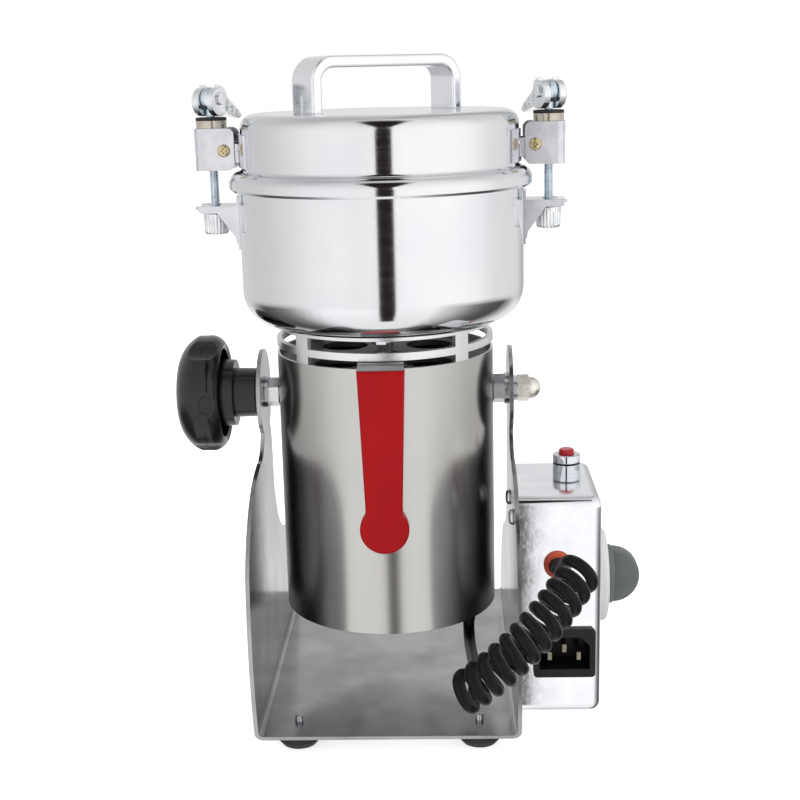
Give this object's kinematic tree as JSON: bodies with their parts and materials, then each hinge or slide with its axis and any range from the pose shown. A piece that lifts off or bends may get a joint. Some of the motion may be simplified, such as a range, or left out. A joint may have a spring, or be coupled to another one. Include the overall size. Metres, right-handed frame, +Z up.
{
  "type": "maize mill",
  "caption": "Tilting high-speed grain mill: a lidded steel bowl with cam latches on a motor can, hung between sheet arms with a switch box.",
  "frame": {"origin": "middle of the footprint, on the surface that the rubber feet stand on", "axes": "+Z up along the bowl's axis, +X towards the switch box, -Y towards the operator"},
  "size_m": [0.2307, 0.2228, 0.3263],
  "materials": {
    "mirror_steel": "polished",
    "can_steel": "brushed",
    "bowl_steel": "satin",
    "bright_steel": "polished",
    "pale_brass": "satin",
    "nickel": "satin",
    "blade_steel": "ground",
    "black_plastic": "gloss",
    "washer_plastic": "matte",
    "red_plastic": "gloss",
    "grey_plastic": "matte",
    "white_plastic": "matte",
    "feet_rubber": "matte",
    "seal_rubber": "matte",
    "orange_rubber": "matte",
    "cord_rubber": "satin",
    "cast_alloy": "cast",
    "core_steel": "laminated",
    "copper": "satin"
  },
  "bodies": {
    "stand": {"stand_bracket": "mirror_steel", "rubber_feet": "feet_rubber", "stand_screws": "bright_steel", "switch_box": "mirror_steel", "power_inlet": "black_plastic", "inlet_pins": "bright_steel", "cord_grommet": "orange_rubber", "timer_unit": "white_plastic", "timer_dial": "white_plastic", "reset_switch": "mirror_steel", "curly_cord": "cord_rubber", "motor_lead": "cord_rubber"},
    "swing_unit": {"pivot_bolts": "bright_steel", "pivot_nuts": "bright_steel", "pivot_washers": "bright_steel", "acorn_nut": "bright_steel", "motor_can": "can_steel", "can_base": "can_steel", "lead_gland": "feet_rubber", "vent_ring": "can_steel", "bowl": "bowl_steel", "shaft_seal": "bowl_steel", "hex_screws": "bright_steel", "lid": "bowl_steel", "lid_seal": "seal_rubber", "lid_handle": "mirror_steel", "grip_strap": "bright_steel", "grip_sleeve": "red_plastic", "motor_plates": "cast_alloy", "motor_bearings": "core_steel", "motor_stator": "core_steel", "carbon_brushes": "copper", "fork_brackets": "bright_steel", "hinge_plates": "bright_steel", "latch_screws": "pale_brass"},
    "rotor": {"motor_shaft": "bright_steel", "rotor_core": "core_steel", "commutator": "copper", "cooling_fan": "cast_alloy", "lower_blade": "blade_steel", "upper_blade": "blade_steel", "blade_spacers": "bright_steel", "blade_nut": "bright_steel"},
    "clamp_washer": {"clamp_washer": "washer_plastic"},
    "hand_wheel": {"hand_wheel": "black_plastic"},
    "timer_knob": {"timer_knob": "grey_plastic", "timer_shaft": "bright_steel"},
    "reset_button": {"reset_button": "red_plastic"},
    "left_block": {"left_latch_block": "bright_steel", "left_cam_washers": "nickel"},
    "left_rod": {"left_eye_rod": "bright_steel", "left_cup_nut": "nickel"},
    "left_lever": {"left_cam_lever": "bright_steel", "left_cam_pin": "bright_steel"},
    "right_block": {"right_latch_block": "bright_steel", "right_cam_washers": "nickel"},
    "right_rod": {"right_eye_rod": "bright_steel", "right_cup_nut": "nickel"},
    "right_lever": {"right_cam_lever": "bright_steel", "right_cam_pin": "bright_steel"}
  },
  "joints": [
    {"name": "bowl_tilt", "type": "hinge", "parent": "stand", "child": "swing_unit", "pos_m": [-0.01065, -0.00875, 0.161], "axis": [-1, 0, 0], "range_deg": [0, 100], "deforming": ["curly_cord", "motor_lead"]},
    {"name": "rotor_spin", "type": "hinge", "parent": "swing_unit", "child": "rotor", "pos_m": [-0.01065, -0.00875, 0.129], "axis": [0, 0, 1], "continuous": true},
    {"name": "clamp_backoff", "type": "slide", "parent": "swing_unit", "child": "clamp_washer", "axis": [-1, 0, 0], "range_m": [0, 0.00125]},
    {"name": "clamp_turn", "type": "hinge", "parent": "clamp_washer", "child": "hand_wheel", "pos_m": [-0.08565, -0.00875, 0.161], "axis": [-1, 0, 0], "range_deg": [0, 360]},
    {"name": "timer_turn", "type": "hinge", "parent": "stand", "child": "timer_knob", "pos_m": [0.10135, -0.03075, 0.069], "axis": [1, 0, 0], "range_deg": [0, 300]},
    {"name": "reset_press", "type": "slide", "parent": "stand", "child": "reset_button", "axis": [0, 0, -1], "range_m": [0, 0.0025], "stiffness_N_per_m": 200, "springref_m": -0.001},
    {"name": "left_latch_swing", "type": "hinge", "parent": "swing_unit", "child": "left_block", "pos_m": [-0.08565, -0.00875, 0.283], "axis": [0, 1, 0], "range_deg": [0, 23]},
    {"name": "left_rod_drop", "type": "slide", "parent": "left_block", "child": "left_rod", "axis": [0, 0, -1], "range_m": [0, 0.0026]},
    {"name": "left_lever_turn", "type": "hinge", "parent": "left_rod", "child": "left_lever", "pos_m": [-0.09265, -0.00875, 0.3075], "axis": [0.8988, -0.4384, 0], "range_deg": [0, 150]},
    {"name": "right_latch_swing", "type": "hinge", "parent": "swing_unit", "child": "right_block", "pos_m": [0.06435, -0.00875, 0.283], "axis": [0, -1, 0], "range_deg": [0, 23]},
    {"name": "right_rod_drop", "type": "slide", "parent": "right_block", "child": "right_rod", "axis": [0, 0, -1], "range_m": [0, 0.0026]},
    {"name": "right_lever_turn", "type": "hinge", "parent": "right_rod", "child": "right_lever", "pos_m": [0.07135, -0.00875, 0.3075], "axis": [0.8988, 0.4384, 0], "range_deg": [0, 150]}
  ],
  "couplings": [
    {"joint": "clamp_turn", "follows": "clamp_backoff", "rad_per_m": 5026.5},
    {"joint": "left_lever_turn", "follows": "left_rod_drop", "rad_per_m": 1006.9},
    {"joint": "right_lever_turn", "follows": "right_rod_drop", "rad_per_m": 1006.9}
  ]
}
